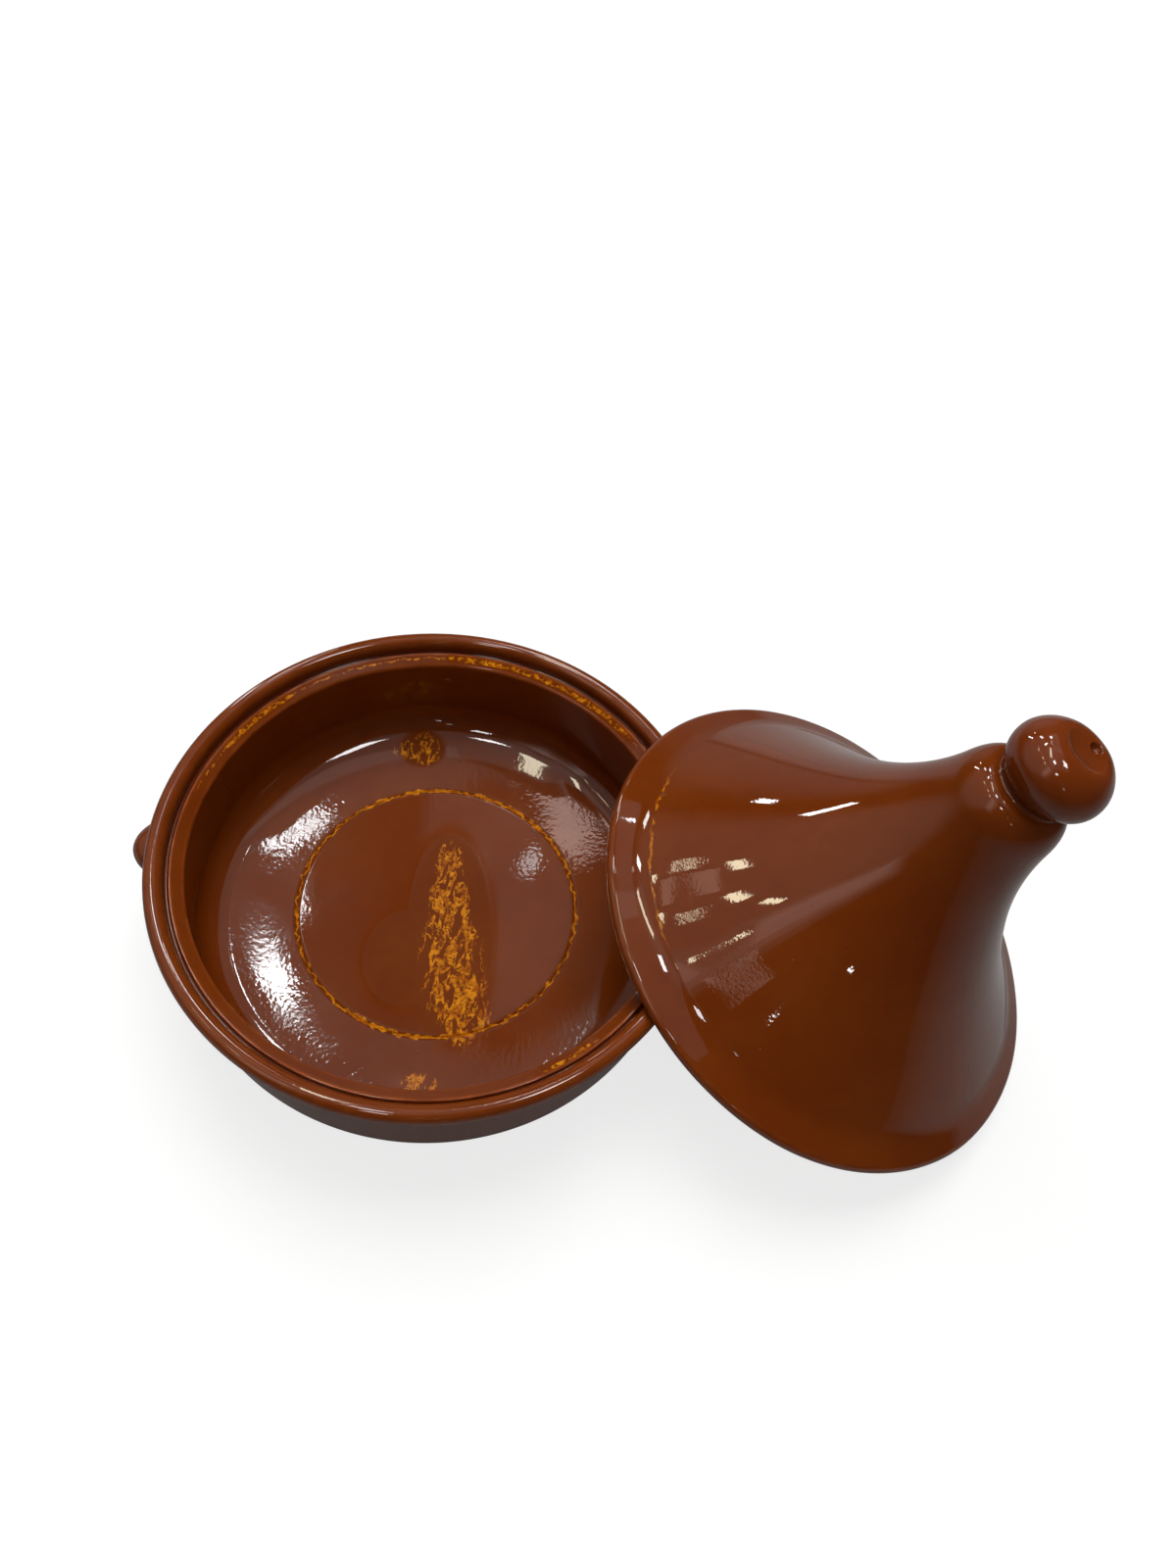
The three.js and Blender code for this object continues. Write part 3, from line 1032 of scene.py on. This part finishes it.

# %% [markdown]
# A ragged amber line runs round the turned ring on the floor. It is a painted reflection of an orange light
# in the ring's groove. A torus would be a raised thread, and on the pot nothing stands up there. So the line
# is a thin band of radius in the colour, whose place is shaken by noise. It is broader at the front and the
# back.

# %% Painted amber reflection in the ring
def amber_ring_reflection(glaze):
    """The ragged line of painted reflection: inside it, the breadth is more than the way to its middle."""
    shake = glaze.fade(glaze.grain(5 * mm, 3), 0.25, 0.75, -1.3 * mm, 1.3 * mm)
    from_axis = glaze.from_axis()
    off = glaze.size(glaze.plus(glaze.minus(from_axis, ring_radius * mm), shake))
    sideways = glaze.size(glaze.over(glaze.axes()[0], from_axis))
    breadth = glaze.fade(sideways, 0.8, 0.3, 0.45 * mm, 0.9 * mm)
    breadth = glaze.times(breadth, glaze.fade(glaze.grain(7 * mm, 3), 0.35, 0.65, 0.75, 1.35))
    line = glaze.fade(glaze.minus(breadth, off), -0.3 * mm, 0.25 * mm)
    return glaze.times(line, on_floor(glaze))


# Painted reflection: the amber line round the ring.
ring_reflection = amber_ring_reflection(dish_glaze)
print("with its ring line,", len(dish_glaze.tree.nodes), "nodes")

# %% [markdown]
# The same painted amber reflection dashes the ledge that the lid sits on, more in some stretches than in
# others. Each stretch is named by its azimuth on the dish, so the list can be checked against the pot with a
# protractor.

# %% Painted amber reflection on the ledge
ledge_reflection_radius = 126 * mm
ledge_reflection_stretches = [
    (80, 16, 1.0),
    (54, 12, 0.9),
    (130, 40, 0.35),
    (148, 10, 0.8),
    (-53, 6, 0.9),
]


def ledge_reflection_amounts(glaze):
    """How much painted amber reflection the ledge has at each azimuth: the middle, half length and amount of
    each stretch.
    """
    x, y, up = glaze.axes()
    azimuth = glaze.reckon("ARCTAN2", y, x)
    most = 0.0
    for middle_turn, half, amount in ledge_reflection_stretches:
        apart = glaze.size(glaze.minus(azimuth, math.radians(middle_turn)))
        here = glaze.fade(apart, math.radians(half + 5), math.radians(half - 5), 0.0, amount)
        most = glaze.larger(here, most)
    return glaze.times(most, glaze.fade(up, 66 * mm, 68 * mm))


def ledge_reflection_dashes(glaze, amounts):
    """A thin line of painted amber reflection that swells into grains over those stretches."""
    shake = glaze.fade(glaze.grain(6 * mm, 2), 0.25, 0.75, -0.5 * mm, 0.5 * mm)
    off = glaze.size(glaze.plus(glaze.minus(glaze.from_axis(), ledge_reflection_radius), shake))
    line = glaze.fade(glaze.minus(glaze.times(amounts, 1.3 * mm), off), -0.2 * mm, 0.3 * mm)
    line = glaze.times(line, glaze.fade(amounts, 0.02, 0.1))
    return glaze.times(line, glaze.fade(glaze.grain(2.4 * mm, 3), 0.42, 0.56))


ledge_reflection_amount = ledge_reflection_amounts(dish_glaze)
dashes = ledge_reflection_dashes(dish_glaze, ledge_reflection_amount)
# Painted reflection: the floor streak, the ring line and the ledge line, laid in amber over the brown.
amber = dish_glaze.larger(dish_glaze.larger(streak_reflection, ring_reflection), dashes)
dish_colour = dish_glaze.blend(amber, body_colour(dish_glaze), reflected_amber_colour(dish_glaze))
print("with its ledge and browns,", len(dish_glaze.tree.nodes), "nodes")

# %% [markdown]
# Where the amber reflection is painted, the glaze is matt and mirrors little. Roughness alone would spread
# bright lamps into a pale haze over the marks, so the reflection is darkened there as well. The matt areas
# reach a little past the amber and end softly, because a finish on a real pot has no drawn edge.

# %% Matt amber
matt_patches = [(9, -14, 26, 68, -9, 1.0), (-9, -32, 28, 32, 0, 1.0), (-25, 101, 14, 12, -10, 1.0)]
matt_roughness = 0.36
full_mirror = (1, 1, 1, 1)
dull_mirror = (0.05, 0.03, 0.015, 1)

over_amber = floor_patches(dish_glaze, matt_patches)
from_axis = dish_glaze.from_axis()
off_ring = dish_glaze.size(dish_glaze.minus(from_axis, ring_radius * mm))
by_ring = dish_glaze.times(dish_glaze.fade(off_ring, 2.6 * mm, 1.8 * mm), on_floor(dish_glaze))
off_line = dish_glaze.size(dish_glaze.minus(from_axis, ledge_reflection_radius))
by_line = dish_glaze.fade(off_line, 3.5 * mm, 2 * mm)
by_line = dish_glaze.times(dish_glaze.fade(ledge_reflection_amount, 0.05, 0.5), by_line)
by_lines = dish_glaze.larger(by_line, by_ring)
dull = dish_glaze.larger(dish_glaze.fade(over_amber, 0.0, 0.6), by_lines)
matt = dish_glaze.larger(dish_glaze.fade(over_amber, 0.35, 0.7), by_lines)
dish_glaze.set("Specular Tint", dish_glaze.blend(dull, full_mirror, dull_mirror))
dish_rough = dish_glaze.larger(uneven_gloss(dish_glaze, 0.055), dish_glaze.times(matt, matt_roughness))
print("with its matt areas,", len(dish_glaze.tree.nodes), "nodes")

# %% [markdown]
# A potter wipes the glaze off the foot, or the dish would stick to the kiln shelf. So under the foot the
# glaze stops at an uneven edge, and bare, gritty red clay shows. A second material on the lowest faces
# would end in steps along the mesh. One material that changes with the height above the table doesn't.

# %% Bare foot
bare_clay = screen(178, 104, 72)
dark_clay = screen(150, 82, 54)
clay_roughness = 0.85
clay_grit_depth = 0.3 * mm

edge_wander = dish_glaze.fade(dish_glaze.grain(20 * mm, 3), 0.3, 0.7, 1.5 * mm, 5.0 * mm)
above_table = dish_glaze.axes()[2]
clay_share = dish_glaze.fade(dish_glaze.minus(above_table, edge_wander), 0.6 * mm, -0.2 * mm)
clay_tone = dish_glaze.blend(dish_glaze.grain(1.2 * mm, 4), bare_clay, dark_clay)
clay_grit = dish_glaze.times(clay_share, dish_glaze.grain(0.8 * mm, 3))
dish_skin = glassy_skin(dish_glaze, 2.6 * mm, 0.017 * mm)
dish_glaze.set("Base Color", dish_glaze.blend(clay_share, dish_colour, clay_tone))
dish_glaze.set("Roughness", dish_glaze.larger(dish_rough, dish_glaze.times(clay_share, clay_roughness)))
dish_glaze.set("Normal", dish_glaze.relief(clay_grit, clay_grit_depth, dish_skin))
for piece in (dish, lug_right, lug_left):
    piece.data.materials.append(dish_glaze.material)
print("dish glaze uses", len(dish_glaze.tree.nodes), "nodes")

# %% [markdown]
# The lid's glaze is the same recipe with a smoother skin, since it flowed down a steep wall. A thin amber
# line along the crease, on the side towards the dish, is a painted reflection of an orange light. The knob is
# a shade redder. They could share one material with a mask, but two short recipes are easier to read.

# %% Lid and knob glaze
crease_reflection_radius = 112.4 * mm
knob_red = screen(128, 58, 28)

lid_glaze = Finish("lid_glaze")
lid_x, _, lid_height = lid_glaze.axes()
crease_shake = lid_glaze.fade(lid_glaze.grain(6 * mm, 3), 0.3, 0.7, -0.5 * mm, 0.5 * mm)
crease_off = lid_glaze.minus(lid_glaze.from_axis(), crease_reflection_radius)
crease_off = lid_glaze.size(lid_glaze.plus(crease_off, crease_shake))
dish_side = lid_glaze.fade(lid_x, -98 * mm, -108 * mm, 0.0, 0.75)
# Painted reflection: a thin amber line along the crease, on the side towards the dish.
crease_reflection = lid_glaze.times(lid_glaze.fade(crease_off, 0.7 * mm, 0.15 * mm), dish_side)
crease_reflection = lid_glaze.times(crease_reflection, lid_glaze.fade(lid_height, 6 * mm, 9 * mm))
crease_reflection = lid_glaze.times(crease_reflection, lid_glaze.fade(lid_glaze.grain(14 * mm, 2), 0.42, 0.55))
lid_glaze.set("Base Color", lid_glaze.blend(crease_reflection, body_colour(lid_glaze), reflected_amber_colour(lid_glaze)))
lid_glaze.set("Roughness", uneven_gloss(lid_glaze, 0.035))
lid_glaze.set("Normal", glassy_skin(lid_glaze, 1.4 * mm, 0.006 * mm))
lid.data.materials.append(lid_glaze.material)

knob_glaze = Finish("knob_glaze")
knob_blush = knob_glaze.fade(knob_glaze.grain(15 * mm, 3), 0.35, 0.7, 0.1, 0.4)
knob_glaze.set("Base Color", knob_glaze.blend(knob_blush, body_colour(knob_glaze), knob_red))
knob_glaze.set("Roughness", uneven_gloss(knob_glaze, 0.04))
knob_glaze.set("Normal", glassy_skin(knob_glaze, 3.0 * mm, 0.02 * mm))
knob.data.materials.append(knob_glaze.material)
print("lid and knob glazes use", len(lid_glaze.tree.nodes), "and", len(knob_glaze.tree.nodes), "nodes")

# %% [markdown]
# The looks never change the pot's size.
